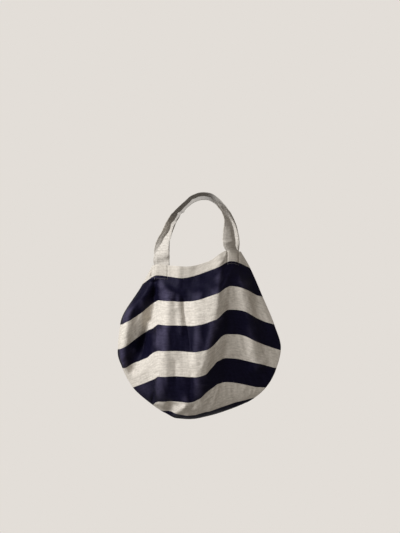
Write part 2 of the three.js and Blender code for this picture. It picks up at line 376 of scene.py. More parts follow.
def newMaterial(name):
    material = bpy.data.materials.new(name)
    material.use_nodes = True
    tree = material.node_tree
    return material, tree, tree.nodes["Principled BSDF"]


def clothMaterial(name, yarns, look, stripes=None):
    material, tree, shader = newMaterial(name)
    place = nodeIn(tree, "ShaderNodeUVMap", uv_map="clothPlace").outputs[0]
    sizes = {"Place": place, "Yarn Pitch": look["yarnPitch"], "Slub Contrast": look["slubContrast"]}
    weave = nodeIn(tree, "ShaderNodeGroup", sizes, node_tree=yarns).outputs
    tone = weave["Tone"]
    colour = mixColour(tree, tone, look["linenDark"], look["linenLight"])
    limits = {"Value": tone, "To Min": look["roughLow"], "To Max": look["roughHigh"]}
    rough = nodeIn(tree, "ShaderNodeMapRange", limits).outputs[0]
    # an attribute of faded dye and painted light: painted highlight on the panels' navy, painted shade on
    # the handles
    paintedLightAndFade = nodeIn(tree, "ShaderNodeAttribute", attribute_name="fadeAndPaintedLight").outputs["Fac"]
    if stripes:
        mask = nodeIn(tree, "ShaderNodeGroup", {"Place": place}, node_tree=stripes).outputs
        # painted shade over the hem band, where the double cloth lets less light through; the navy is
        # lighter along the folds, partly faded dye and partly painted highlight
        hem = calc(tree, "MULTIPLY", mask["Hem"], look["hemShade"])
        colour = mixColour(tree, hem, colour, look["linenDark"])
        fadedAndHighlit = mixColour(tree, tone, look["fadedAndHighlitDark"], look["fadedAndHighlitLight"])
        navy = mixColour(tree, tone, look["navyDark"], look["navyLight"])
        colour = mixColour(tree, mask["Navy"], colour, mixColour(tree, paintedLightAndFade, navy, fadedAndHighlit))
        rough = calc(tree, "SUBTRACT", rough, calc(tree, "MULTIPLY", mask["Navy"], look["navyGloss"]))
    else:
        # painted shade darkens the top of the handles
        colour = mixColour(tree, paintedLightAndFade, colour, look["paintedShadeColour"])
    relief = calc(tree, "MULTIPLY", weave["Height"], look["weaveHeight"])
    creases = calc(tree, "MULTIPLY", cloudOf(tree, place, *look["creaseCloud"]), look["creaseHeight"])
    relief = calc(tree, "ADD", relief, creases)
    bump = nodeIn(tree, "ShaderNodeBump", {"Height": relief, "Distance": look["bump"], "Strength": 1.0})
    feed(tree, shader, {
        "Base Color": colour, "Roughness": rough, "Normal": bump.outputs[0],
        "Specular IOR Level": look["specular"], "Specular Tint": (*look["specularTint"], 1),
        "Sheen Weight": look["sheen"],
    })
    return material


linenLook = {
    "yarnPitch": 0.0008,
    "slubContrast": 0.75,
    "linenDark": (0.31, 0.28, 0.235),
    "linenLight": (0.7, 0.645, 0.565),
    "navyDark": (0.0008, 0.0008, 0.004),
    "navyLight": (0.0065, 0.0055, 0.016),
    "navyGloss": 0.44,
    "fadedAndHighlitDark": (0.016, 0.014, 0.028),
    "fadedAndHighlitLight": (0.05, 0.044, 0.075),
    "hemShade": 0.36,
    "roughLow": 0.82,
    "roughHigh": 0.94,
    "creaseCloud": (1.0, 3.0, 0.55, (40, 28, 1)),
    "creaseHeight": 0.9,
    "weaveHeight": 0.35,
    "bump": 0.0009,
    "specular": 0.06,
    "specularTint": (0.8, 0.74, 1.0),
    "sheen": 0.0,
}
# the handles' linen is painted darker than the panels', as shade: they are double cloth, so less light comes
# through them
handleLook = {
    **linenLook,
    "linenDark": (0.25, 0.228, 0.195),
    "linenLight": (0.6, 0.553, 0.488),
    "paintedShadeColour": (0.19, 0.178, 0.162),
    "creaseCloud": (1.0, 3.0, 0.55, (60, 30, 1)),
    "specular": 0.3,
    "specularTint": (1.0, 1.0, 1.0),
    "sheen": 0.08,
}
threadLook = {"dark": (0.16, 0.148, 0.13), "light": (0.3, 0.275, 0.24), "grain": 1400.0, "rough": 0.7}


def mottledMaterial(name, look):
    material, tree, shader = newMaterial(name)
    place = nodeIn(tree, "ShaderNodeTexCoord").outputs["Object"]
    colour = mixColour(tree, cloudOf(tree, place, look["grain"]), look["dark"], look["light"])
    feed(tree, shader, {"Base Color": colour, "Roughness": look["rough"]})
    return material


yarnGroup = linenYarnGroup()
stripedCloth = clothMaterial("stripedLinen", yarnGroup, linenLook, stripeGroup())
plainCloth = clothMaterial("plainLinen", yarnGroup, handleLook)
threadCloth = mottledMaterial("oatmealThread", threadLook)
print("materials made")


# Meshes: a sheet is closed between an outer and an inner net of the same size

def sceneObject(name, data):
    made = bpy.data.objects.new(name, data)
    bpy.context.scene.collection.objects.link(made)
    return made


def sheetPiece(name, surface, material):
    # caps are rows that round the sheet over, from its outer net's row 0 to its inner net's
    outer, inner, caps = surface["outer"], surface["inner"], surface["caps"]
    net = np.array([*outer[::-1], *caps, *inner])
    placeNet, fadeAndPaintedLightNet = (np.array([*values[::-1], *[values[0]] * len(caps), *values])
                         for values in (surface["place"], surface["fadeAndPaintedLight"]))
    rows, columns = net.shape[:2]
    index = np.arange(rows * columns).reshape(rows, columns)
    around = np.stack([index[:-1, :-1], index[1:, :-1], index[1:, 1:], index[:-1, 1:]], 2).reshape(-1, 4)
    half = len(outer)
    first, last = index[:half][::-1], index[rows - half:]
    left = np.stack([first[:-1, 0], first[1:, 0], last[1:, 0], last[:-1, 0]], 1)
    right = np.stack([first[1:, -1], first[:-1, -1], last[:-1, -1], last[1:, -1]], 1)
    foot = np.stack([first[-1, :-1], first[-1, 1:], last[-1, 1:], last[-1, :-1]], 1)
    capEnds = []
    if caps:
        ring = index[half - 1:half + len(caps) + 1]
        capEnds = [ring[::-1, 0].tolist(), ring[:, -1].tolist()]
    quads = np.concatenate([around, left, right, foot])
    points = net.reshape(-1, 3) * mm
    faces = [*quads.tolist(), *capEnds]
    bakePlaces = bakeLayout(net, around, half, capEnds)
    if faceVolume(points, quads) < 0:
        faces = [face[::-1] for face in faces]
        bakePlaces = [places[::-1] for places in bakePlaces]
    mesh = bpy.data.meshes.new(name)
    mesh.from_pydata(points.tolist(), [], faces)
    mesh.polygons.foreach_set("use_smooth", [True] * len(mesh.polygons))
    corners = np.zeros(len(mesh.loops), int)
    mesh.loops.foreach_get("vertex_index", corners)
    layers = {"clothPlace": (placeNet.reshape(-1, 2) * mm)[corners], "OFBake": np.concatenate(bakePlaces)}
    for layer, places in layers.items():
        mesh.uv_layers.new(name=layer).data.foreach_set("uv", places.ravel())
    # the attribute holds faded dye and painted light for the material
    mesh.attributes.new("fadeAndPaintedLight", "FLOAT", "POINT").data.foreach_set("value", fadeAndPaintedLightNet.ravel())
    mesh.materials.append(material)
    mesh.update()
    return sceneObject(name, mesh)


bakeMap = {
    "low": 0.02, "high": 0.98, "fieldRight": 0.9,
    "strips": (0.92, 0.94, 0.96), "stripWidth": 0.01,
    "capPlace": (0.985, 0.1), "capStep": 0.1, "capSize": 0.004,
}


def bakeLayout(net, around, half, capEnds):
    # where each face lies on the map that textures are baked through: the net as one field,
    # and its rims as narrow strips beside it
    low, high = bakeMap["low"], bakeMap["high"]
    columns = net.shape[1]
    down, over = runAlong(net, 0)[:, columns // 2], runAlong(net, 1)[half // 2]
    across = mixOf(low, bakeMap["fieldRight"], over / over[-1])
    field = np.stack(np.meshgrid(across, mixOf(low, high, down / down[-1])), 2)
    layout = list(field.reshape(-1, 2)[around])
    for start, count, turned in zip(bakeMap["strips"], (half, half, columns), (False, True, False)):
        near = np.stack([np.full(count, start), np.linspace(low, high, count)], 1)
        far = near + (bakeMap["stripWidth"], 0)
        a, b, c, d = near[:-1], near[1:], far[1:], far[:-1]
        layout += list(np.stack([b, a, d, c] if turned else [a, b, c, d], 1))
    for k, ring in enumerate(capEnds):
        angles = np.linspace(0, math.pi, len(ring))
        middle = np.array(bakeMap["capPlace"]) + (0, bakeMap["capStep"] * k)
        layout.append(middle + bakeMap["capSize"] * np.stack([np.cos(angles), np.sin(angles)], 1))
    return layout


def faceVolume(points, quads):
    # six times the volume inside, below zero where the faces point inwards
    a, b, c, d = (points[quads[:, k]] for k in range(4))
    return (a * (np.cross(b, c) + np.cross(c, d))).sum()


# The panels

panelLook = {
    "columns": 208, "hemRows": 24, "hemRowsTo": 36, "bodyRows": 186, "crowding": 0.45, "footCrowding": 0.2,
    # thickness, the turned hem and its line of stitches
    "offset": 2.0, "thickness": 0.9, "innerFloor": 0.05, "seamRoll": 3.5, "seamFloor": 0.35,
    "hemDepth": 28, "hemStep": 3, "hemRise": 0.5, "hemExtra": 0.9, "capAngles": (36, 72, 108, 144),
    "hemStitch": 25, "groove": 0.5, "grooveWidth": 1.5,
    # puckers along the seams and the hem
    "pucker": 1.1, "puckerReach": 16, "puckerWave": 11, "puckerClear": 7,
    "hemPucker": 0.35, "hemPuckerReach": 9, "hemPuckerWave": 8,
    # crumples and creases, and how far they stay from the seams and the mouth
    "crumple": [(1.3, 46, 62, 0), (1.3, 30, 44, 9, 0.35), (0.34, 9, 13, 5)],
    "creaseClear": 30, "calmFrom": 10, "calmOver": 60,
    # how far the last stripe is drawn out at the foot
    "footStretch": 21, "footFrom": 460, "footOver": 60,
    # lighter navy along the folds, partly faded dye and partly painted highlight
    "fadeAndHighlightSmoothing": 60, "fadeAndHighlightClear": 20, "fadeAndHighlightFrom": 0.4, "fadeAndHighlightOver": 5.5,
}

# how a panel is sewn to a handle's end: a box of stitches, which pulls a groove down either side,
# and a swell over the strap behind it
boxLook = {
    "inset": 2.6, "top": 4, "foot": 38,
    "pull": 2.2, "pullWidth": 2.2, "pullFoot": 40, "pullEdge": 3,
    "swell": 0.45, "swellSpare": 1, "swellFoot": 41, "swellEdge": 2.5,
}

# folds and creases of the front: width, rise and fade, then the places that the line runs through
# as seen from the front, across and height, and its form where it isn't soft
frontCreases = [
    # the straight fold under the left handle
    (6, 2.5, 25, [(-142, -262), (-143, -330), (-139, -420), (-137, -520), (-134, -600)], "sharp"),
    # left of that handle, below the mouth
    (26, 7, 40, [(-160, -200), (-160, -290)]),
    (10, 6, 20, [(-172, -222), (-186, -258), (-206, -300)]),
    # the left fold is fuller than the solid's, and the hollow beside it deeper
    (30, 7.5, 40, [(-196, -290), (-211, -326), (-243, -380), (-258, -440), (-262, -490)]),
    (28, -9, 30, [(-127, -310), (-134, -370), (-149, -405), (-180, -455), (-204, -490)]),
    (12, 4, 20, [(-128, -405), (-137, -440), (-141, -475)]),
    # low on the left the cloth turns in again before its seam
    (14, -7, 25, [(-236, -486), (-216, -534), (-206, -560)]),
    # where the left fold starts, under the handle's end
    (11, -13, 12, [(-150, -257), (-147, -290), (-147, -330), (-153, -364), (-164, -398)]),
    (15, 3, 26, [(-114, -284), (-112, -330), (-112, -370)]),
    # soft folds across the mouth, between the handles
    (14, 7, 30, [(-74, -200), (-76, -250), (-80, -300)]),
    (16, -8, 30, [(-27, -200), (-31, -250), (-41, -300)], "step"),
    # a small tuck in the hem
    (5, -20, 10, [(-160, -210), (-162, -258)]),
    # beside the right handle
    (13, 6, 30, [(52, -170), (50, -230), (48, -280)]),
    (5, 3, 10, [(74, -173), (58, -207), (45, -219), (30, -228)], "sharp"),
    # the pressed creases down the middle
    (9, 3.5, 40, [(-78, -290), (-72, -360), (-66, -450)]),
    (8, -6, 40, [(-62, -300), (-58, -359), (-52, -389), (-40, -444), (-34, -490)], "sharp"),
    (8, -4, 30, [(-32, -520), (-38, -590), (-43, -640)], "sharp"),
    (9, 3, 40, [(-108, -490), (-108, -610)]),
    (8, -4, 40, [(-84, -490), (-84, -610)]),
    (10, 2.2, 60, [(-30, -270), (-26, -380), (-24, -500), (-22, -610)]),
    # the lip that turns away
    (9, 2.6, 60, [(50, -250), (41, -330), (27, -410), (1, -500), (-12, -590)]),
    (14, 1.5, 40, [(84, -262), (92, -330), (112, -400), (140, -450)]),
    # the diagonal fold and the tuck at the foot
    (8, 9, 16, [(-49, -640), (-71, -663), (-96, -688)]),
    (7, -4, 16, [(-24, -636), (-50, -668), (-78, -692)]),
    (16, -17, 20, [(-86, -630), (-103, -660), (-117, -682)]),
    # small wrinkles low on the left
    (8, 5, 10, [(-152, -640), (-146, -660)]),
    (5, -8, 12, [(-146, -600), (-154, -628), (-162, -652)]),
    (6, 4, 14, [(-164, -606), (-170, -630), (-172, -644)]),
    # soft folds towards the right seam
    (12, -3, 40, [(150, -290), (170, -360), (206, -430)]),
    (14, 3, 40, [(120, -560), (160, -540), (206, -500)]),
]

# how far the stripe edges of the front hang below where even cloth would carry them: the places
# across, then a row for each edge, its distance below the mouth first
frontDrift = {
    "across": [-266, -217, -194, -175, -159, -147, -134, -95, -67, -40,
               -15, 9, 24, 39, 54, 76, 126, 164, 190, 226],
    "down": [
        [0] + [0] * 20,
        [31, 0, 0, 0, 1, 1, -2, -2.5, -1, 0, -3, -4, -3.5, -3.5, -3, -1, -0.5, -1, 0, 0, 0],
        [111, 5, 15, 19, 14, 9, 7, 1, 2, 4.5, 3, 0.5, -0.5, 0, 0, 0.5, 3, 1.5, 2.5, 0, 0],
        [191, -5, 6, 7, 11, 11, 5.5, -2.5, -2.5, -2, -1, -2, -1.5, -2.5, -3, -5, -4.5, -8, 0.5, 2, 0],
        [271, 2, 9, 17, 18, 10, 4, -1, -2.5, -2, 0, -0.5, 1, -1.5, -3, -6.5, -0.5, -1.5, 7, 9, 9.5],
        [351, 0, -1, 1.5, 4, 4, 2, -5, -6, -5.5, -3, -2.5, -4, -9, -13.5, -7, -4, -3, -6, -8, -7.5],
        [431, 0, 0, 0, 6, 5, -1, -0.5, -5, -4.5, -0.5, -2, -9.5, -8, -8.5, -4, 0.5, 5, 7, 3, 0],
        [545] + [0] * 20,
    ],
}

# where painted highlights lighten the front's navy most: across, height, reach, amount
frontPaintedHighlights = [[-186, -598, 26, 0.55], [-141, -440, 12, 0.5], [-134, -606, 7, 0.6]]

backCreases = [
    (7, 2.6, 25, [(-128, -270), (-140, -380), (-150, -480), (-140, -580)]),
    (12, -3, 60, [(-96, -262), (-100, -380), (-96, -500)]),
    (8, 2.4, 60, [(-30, -280), (-40, -420), (-36, -560)]),
    (10, -2.6, 60, [(30, -260), (24, -380), (10, -520)]),
    (8, 3, 50, [(86, -240), (98, -340), (110, -450), (96, -560)]),
    (12, -3, 40, [(120, -300), (150, -380), (186, -450)]),
    (8, 3, 20, [(-20, -640), (-52, -664), (-84, -688)]),
    (12, 2.6, 40, [(60, -600), (110, -580), (160, -560)]),
]


def panelNet(hang):
    # the panel as it hangs, before its creases; the rows lie closer together in the hem
    look = panelLook
    even = np.linspace(0, 1, look["columns"])
    shares = mixOf(even, (1 - np.cos(np.pi * even)) / 2, look["crowding"])
    hemFlats = np.linspace(0, look["hemRowsTo"], look["hemRows"])
    t = np.linspace(0, 1, look["bodyRows"])[1:]
    t = mixOf(t, np.sin(t * np.pi / 2), look["footCrowding"])
    flats = np.concatenate([hemFlats, look["hemRowsTo"] + (flatLength - look["hemRowsTo"]) * t])
    rows = []
    for flat in flats:
        section = sectionAt(hang, flat)
        across = mixOf(section["across"][0], section["across"][-1], shares)
        rows.append(panelRow(hang, across, flat, section))
    return np.array(rows), flats


def stripeDrift(drift, flats, across):
    steps = np.array(drift["down"], float)
    byRow = np.array([smoothThrough(steps[:, 0], line, flats) for line in steps.T[1:]]).T
    return np.array([smoothThrough(drift["across"], line, row) for line, row in zip(byRow, across)])


def withBox(rise, across, down, ends):
    look = boxLook
    low, high = sorted(ends)
    within = smoothStep((across - low + look["swellSpare"]) / look["swellEdge"])
    within *= smoothStep((high + look["swellSpare"] - across) / look["swellEdge"])
    within *= smoothStep((look["swellFoot"] - down) / look["swellEdge"])
    fromStitch = np.minimum(np.abs(across - low - look["inset"]), np.abs(across - high + look["inset"]))
    pulled = bell(fromStitch / look["pullWidth"]) * smoothStep((look["pullFoot"] - down) / look["pullEdge"])
    return rise + look["swell"] * within - look["pull"] * pulled


def mouthCaps(outer, inner):
    # rows that round the hem over at the mouth
    core, spread = (outer + inner) / 2, (outer - inner) / 2
    up = np.array([0, 0, 1.0]) * np.linalg.norm(spread, axis=1, keepdims=True)
    return [core + spread * math.cos(angle) + up * math.sin(angle)
            for angle in np.radians(panelLook["capAngles"])]


def smoothed(net, rounds):
    # the net as it would lie without its folds
    for _ in range(rounds):
        wide = np.pad(net, ((1, 1), (1, 1), (0, 0)), mode="reflect", reflect_type="odd")
        net = (wide[:-2, 1:-1] + wide[2:, 1:-1] + wide[1:-1, :-2] + wide[1:-1, 2:]) / 4
    return net


def panelFadeAndHighlight(middle, normals, fromSeam, calm, paintedLightAndFade):
    # folds that stand proud wear first, and their lighter navy is also painted highlight; the listed spots
    # are painted highlight only
    look = panelLook
    proud = ((middle - smoothed(middle, look["fadeAndHighlightSmoothing"])) * normals).sum(axis=2)
    fadeAndPaintedLight = smoothStep((proud - look["fadeAndHighlightFrom"]) / look["fadeAndHighlightOver"]) * calm
    fadeAndPaintedLight *= smoothStep((fromSeam - look["fadeAndHighlightClear"]) / look["fadeAndHighlightClear"])
    for across, height, reach, amount in paintedLightAndFade:
        away = np.hypot(middle[..., 0] - across, middle[..., 2] - height) / reach
        fadeAndPaintedLight = np.maximum(fadeAndPaintedLight, amount * bell(away))
    return fadeAndPaintedLight


def panelSurface(hang, creases, strap, seed, drift=None, paintedLightAndFade=()):
    look = panelLook
    net, flats = panelNet(hang)
    run = runAlong(net, 1)
    run = run - run[:, [look["columns"] // 2]]
    down = np.repeat(flats[:, None], look["columns"], axis=1)
    fromLeft, fromRight, fromFoot = run - run[:, [0]], run[:, [-1]] - run, flatLength - down
    fromSide = np.minimum(fromLeft, fromRight)
    fromSeam = np.minimum(fromSide, fromFoot)
    inside = smoothStep(fromSeam / look["creaseClear"])
    calm = smoothStep((down - look["calmFrom"]) / look["calmOver"])
    rise = crumpleRise(run, down, look["crumple"], seed) * inside * calm
    # puckers run in from the seams, and smaller ones follow the stitches of the hem
    sidePlace = np.where((fromLeft < fromRight)[..., None], net[:, :1], net[:, -1:])
    seamPlace = np.where((fromSide < fromFoot)[..., None], sidePlace, net[-1:]) / look["puckerWave"]
    wave = noiseOver(seamPlace[..., 0], seamPlace[..., 2], np.array(seed + 2.0))
    fading = np.exp(-fromSeam / look["puckerReach"])
    rise += look["pucker"] * wave * fading * smoothStep(fromSeam / look["puckerClear"])
    fromStitch = down - look["hemStitch"]
    wave = noiseOver(run / look["hemPuckerWave"], np.array(seed), np.array(0.0))
    rise += look["hemPucker"] * wave * bell(fromStitch / look["hemPuckerReach"])
    middle = net + netNormals(net, hang["side"]) * rise[..., None]
    middle[..., 1] += hang["side"] * (sum(creaseRise(net, crease) for crease in creases) * inside)
    normals = netNormals(middle, hang["side"])
    flatDown = down + look["footStretch"] * smoothStep((down - look["footFrom"]) / look["footOver"])
    if drift:
        flatDown = flatDown - stripeDrift(drift, flats, net[..., 0])
    # thickness: a turned hem at the mouth, the strap ends behind it, and edges that roll in at the seams
    hem = smoothStep((look["hemDepth"] + look["hemStep"] / 2 - down) / look["hemStep"])
    groove = look["groove"] * bell(fromStitch / look["grooveWidth"])
    outerRise = look["offset"] + look["hemRise"] * hem - groove
    for ends in (strap["left"], strap["right"]):
        outerRise = withBox(outerRise, net[..., 0], down, ends)
    rolled = mixOf(look["seamFloor"], 1, roundedEdge(fromSeam, look["seamRoll"]))
    outerRise = outerRise * rolled
    innerRise = outerRise - look["thickness"] - look["hemExtra"] * hem
    innerRise = np.maximum(innerRise, look["innerFloor"] * rolled)
    outer = middle + normals * outerRise[..., None]
    inner = middle + normals * innerRise[..., None]
    return {"outer": outer, "inner": inner, "caps": mouthCaps(outer[0], inner[0]), "normals": normals,
            "place": np.stack([run, flatDown], 2), "flats": flats, "across": net[..., 0],
            "fadeAndPaintedLight": panelFadeAndHighlight(middle, normals, fromSeam, calm, paintedLightAndFade)}


def onSurface(surface, net, across, flat):
    # a point of a panel's net, at a place across and a distance below the mouth
    row = np.interp(flat, surface["flats"], np.arange(len(surface["flats"])))
    above = min(int(row), len(net) - 2)
    found = []
    for k in (above, above + 1):
        column = np.interp(across, surface["across"][k], np.arange(net.shape[1]))
        left = min(int(column), net.shape[1] - 2)
        found.append(mixOf(net[k, left], net[k, left + 1], column - left))
    return mixOf(*found, row - above)


# both straps, in millimetres; an end is the length that is sewn inside the mouth
strapWidth = 50
strapThickness = 2.4
strapEnd = 42
strapClearance = 1.5

frontStrap = {
    "hang": frontHang,
    # along the strap as a share of it, spread, rise of the middle over the edges
    "curls": [[0.22, 0.08, -5], [0.8, 0.1, 11]],
    # along, spread, rise of the right edge over the left one
    "rolls": [[0.19, 0.05, 4], [0.8, 0.1, -7]],
    "left": [-153, -107],
    "right": [113, 72],
    # across, out, height, turn, dip
    "stations": [
        [-130, -33, -196, 4, 0],
        [-126, -31, -166, -38, 0],
        [-116, -29, -138, -60, 2],
        [-103, -27, -110, -80, 6],
        [-92, -26, -84, -86, 10],
        [-76, -26, -59, -88, 13],
        [-53, -25, -34, -89, 15],
        [-28, -25, -14, -90, 17],
        [0, -25, -5, -90, 18],
        [25, -25, -10, -91, 16],
        [45, -25, -27, -92, 8],
        [62, -25, -49, -94, 4],
        [76, -25, -76, -104, 2],
        [80, -25, -107, -124, 0],
        [82, -23, -138, -137, 0],
        [84, -21, -158, -139, 0],
    ],
}

backStrap = {
    "hang": backHang,
    "curls": [[0.24, 0.12, -8], [0.82, 0.1, 4]],
    "rolls": [[0.24, 0.1, -8]],
    "left": [-107, -153],
    "right": [72, 113],
    "stations": [
        [-131, 20, -196, -178, 0],
        [-131, 20, -165, -168, 0],
        [-127, 21, -136, -152, 0],
        [-115, 22, -108, -138, -2],
        [-101, 24, -77, -129, -4],
        [-84, 26, -50, -120, -6],
        [-62, 28, -25, -106, -8],
        [-33, 30, 1, -95, -11],
        [0, 31, 10, -90, -13],
        [29, 31, 4, -86, -12],
        [53, 30, -16, -76, -8],
        [72, 28, -42, -66, -3],
        [87, 26, -72, -58, 0],
        [94, 25, -104, -48, 0],
        [97, 22, -136, -42, 0],
        [97, 18, -156, -38, 0],
    ],
}

panelSurfaces = {
    "front_panel": panelSurface(frontHang, frontCreases, frontStrap, 1.7, frontDrift, frontPaintedHighlights),
    "back_panel": panelSurface(backHang, backCreases, backStrap, 4.3),
}


def clothPieces(surfaces, material):
    pieces = {}
    for node, surface in surfaces.items():
        pieces[node] = sheetPiece(node + "_cloth", surface, material)
        print(node, "made,", len(pieces[node].data.polygons), "faces")
    return pieces


panels = clothPieces(panelSurfaces, stripedCloth)


# The handles

strapLook = {
    "spans": 44, "steps": 260, "endSteps": 18, "bowReach": 2, "sewnFade": 30, "seat": 1.3,
    # thickness, rounded edges and the groove of the stitches
    "thickness": 1.9, "edgeRound": 1.2, "edgeFloor": 0.35,
    "edgeStitch": 3.2, "groove": 0.28, "grooveWidth": 1.3,
    "crumple": [(1.0, 30, 42, 0), (0.7, 20, 34, 3, 0.3), (0.12, 5, 8, 6)],
    # how the edges waver
    "edgeWaver": 1.6, "waverReach": 4.5, "waverWave": 22, "waverApart": 4,
    # where painted shade darkens the top of the straps
    "paintedShadeFrom": 0.28, "paintedShadeTo": 0.68, "paintedShadeFade": 0.1, "paintedShade": 0.7,
}

# creases over the straps: place along and across as shares, slant, reach across, width, rise
frontStrapCreases = [
    (0.1, 0.6, 0.012, 0.5, 6, -2.4),
    (0.325, 0.3, 0.02, 0.45, 6, 4.5),
    (0.355, 0.6, -0.02, 0.5, 5, -5),
    (0.385, 0.35, 0.015, 0.5, 6, 4.5),
    (0.415, 0.7, 0.0, 0.4, 5, -4),
    (0.5, 0.4, 0.02, 0.5, 6, 2.5),
    (0.86, 0.5, 0.01, 0.5, 5, 2),
]
backStrapCreases = [
    (0.34, 0.4, 0.02, 0.5, 6, 2.2),
    (0.39, 0.5, -0.02, 0.5, 6, -2.2),
    (0.66, 0.5, 0.02, 0.5, 7, 1.8),
]


def sewnRung(strap, ends, flat, shares):
    # lies against the inner face of its panel, whose slope is taken a little way around it
    hang, reach = strap["hang"], 1.5
    across = mixOf(ends[0], ends[1], shares)
    around = ((0, 0), (0, -reach), (0, reach), (-reach, 0), (reach, 0))
    point, up, down, left, right = (panelRow(hang, across + a, max(flat + b, 0)) for a, b in around)
    normals = np.cross(right - left, down - up) * hang["side"]
    normals /= np.linalg.norm(normals, axis=1, keepdims=True)
    return point - normals * strapClearance


def routeThrough(points, t):
    # centripetal curve through the points, t from 0 to 1
    points = np.asarray(points, float)
    at = t * (len(points) - 1)
    k = min(int(at), len(points) - 2)
    t = at - k
    before = points[k - 1] if k > 0 else 2 * points[0] - points[1]
    after = points[k + 2] if k + 2 < len(points) else 2 * points[-1] - points[-2]
    start, end = points[k], points[k + 1]
    gaps = [max(np.linalg.norm(b - a), 1e-4) ** 0.5
            for a, b in ((before, start), (start, end), (end, after))]
    leaving = (start - before) / gaps[0] - (end - before) / (gaps[0] + gaps[1]) + (end - start) / gaps[1]
    arriving = (end - start) / gaps[1] - (after - start) / (gaps[1] + gaps[2]) + (after - end) / gaps[2]
    leaving, arriving = leaving * gaps[1], arriving * gaps[1]
    return (start + leaving * t + (3 * (end - start) - 2 * leaving - arriving) * t ** 2
            + (2 * (start - end) + leaving + arriving) * t ** 3)


def strapNet(strap):
    look = strapLook
    shares = np.linspace(0, 1, look["spans"] + 1)
    middle = look["spans"] // 2
    flats = np.linspace(strapEnd, 0, look["endSteps"])
    left = [sewnRung(strap, strap["left"], flat, shares) for flat in flats]
    right = [sewnRung(strap, strap["right"], flat, shares) for flat in flats[::-1]]
    across = (shares - 0.5)[:, None] * strapWidth

    def directionOf(rung):
        run = rung[-1] - rung[0]
        return run / np.linalg.norm(run)

    def bowOf(rung):
        return rung - (rung[middle] + across * directionOf(rung))

    def pointed(turn, dip):
        turn, dip = math.radians(turn), math.radians(dip)
        return np.array([math.cos(turn) * math.cos(dip), math.sin(turn) * math.cos(dip), -math.sin(dip)])

    stations = strap["stations"]
    directions = [directionOf(left[-1]), *[pointed(*row[3:]) for row in stations], directionOf(right[0])]
    middles = [left[-1][middle], *[np.array(row[:3], float) for row in stations], right[0][middle]]
    lastStation = len(directions) - 1
    leftBow, rightBow = bowOf(left[-1]), bowOf(right[0])
    free = []
    for j in range(1, look["steps"]):
        share = j / look["steps"]
        station = share * lastStation
        before = int(station)
        direction = mixOf(directions[before], directions[before + 1], station - before)
        direction = direction / np.linalg.norm(direction)
        bow = leftBow * (1 - smoothStep(station / look["bowReach"]))
        bow = bow + rightBow * (1 - smoothStep((lastStation - station) / look["bowReach"]))
        free.append(routeThrough(middles, share) + across * direction + bow)
    return np.array([*left, *free, *right])


def strapSurface(strap, creases, seed):
    look = strapLook
    net = strapNet(strap)
    normals = netNormals(net, 1)
    down = np.repeat(runAlong(net, 0)[:, [look["spans"] // 2]], look["spans"] + 1, axis=1)
    wide = np.linspace(-0.5, 0.5, look["spans"] + 1)[None, :] * strapWidth * np.ones((len(net), 1))
    length = down[-1, 0]
    along, over = down / length, wide / strapWidth + 0.5
    sewn = smoothStep((down - strapEnd) / look["sewnFade"])
    sewn *= smoothStep((length - strapEnd - down) / look["sewnFade"])
    rise = crumpleRise(wide, down, look["crumple"], seed)
    for alongAt, overAt, slant, reach, width, height in creases:
        fromMiddle = (over - overAt) / reach
        away = (along - (alongAt + slant * np.clip(fromMiddle, -1, 1))) * length
        rise += height * bell(away / width) * bell(fromMiddle)
    for centre, spread, height in strap["curls"]:
        rise += height * bell((along - centre) / spread) * (1 - (2 * wide / strapWidth) ** 2)
    for centre, spread, height in strap["rolls"]:
        rise += height * bell((along - centre) / spread) * wide / strapWidth
    fromEdge = strapWidth / 2 - np.abs(wide)
    waver = noiseOver(np.sign(wide) * look["waverApart"], down / look["waverWave"], np.array(seed + 8.0))
    rise += look["edgeWaver"] * (waver - 0.5) * bell(fromEdge / look["waverReach"])
    seat = look["seat"] * (1 - sewn)
    middle = net + normals * (rise * sewn + seat - strapThickness / 2)[..., None]
    normals = netNormals(middle, 1)
    half = look["thickness"] / 2 * mixOf(look["edgeFloor"], 1, roundedEdge(fromEdge, look["edgeRound"]))
    half = half - look["groove"] / 2 * bell((fromEdge - look["edgeStitch"]) / look["grooveWidth"])
    # painted shade over the top
    paintedShade = look["paintedShade"] * smoothStep((along - look["paintedShadeFrom"]) / look["paintedShadeFade"])
    paintedShade *= smoothStep((look["paintedShadeTo"] - along) / look["paintedShadeFade"])
    return {"outer": middle + normals * half[..., None], "inner": middle - normals * half[..., None],
            "caps": [], "normals": normals, "place": np.stack([wide, down], 2), "length": length,
            "fadeAndPaintedLight": paintedShade}


strapSurfaces = {
    "front_handle": strapSurface(frontStrap, frontStrapCreases, 2.2),
    "back_handle": strapSurface(backStrap, backStrapCreases, 6.4),
}
handles = clothPieces(strapSurfaces, plainCloth)


# Stitches, by Geometry Nodes: small capsules along paths that lie on the cloth

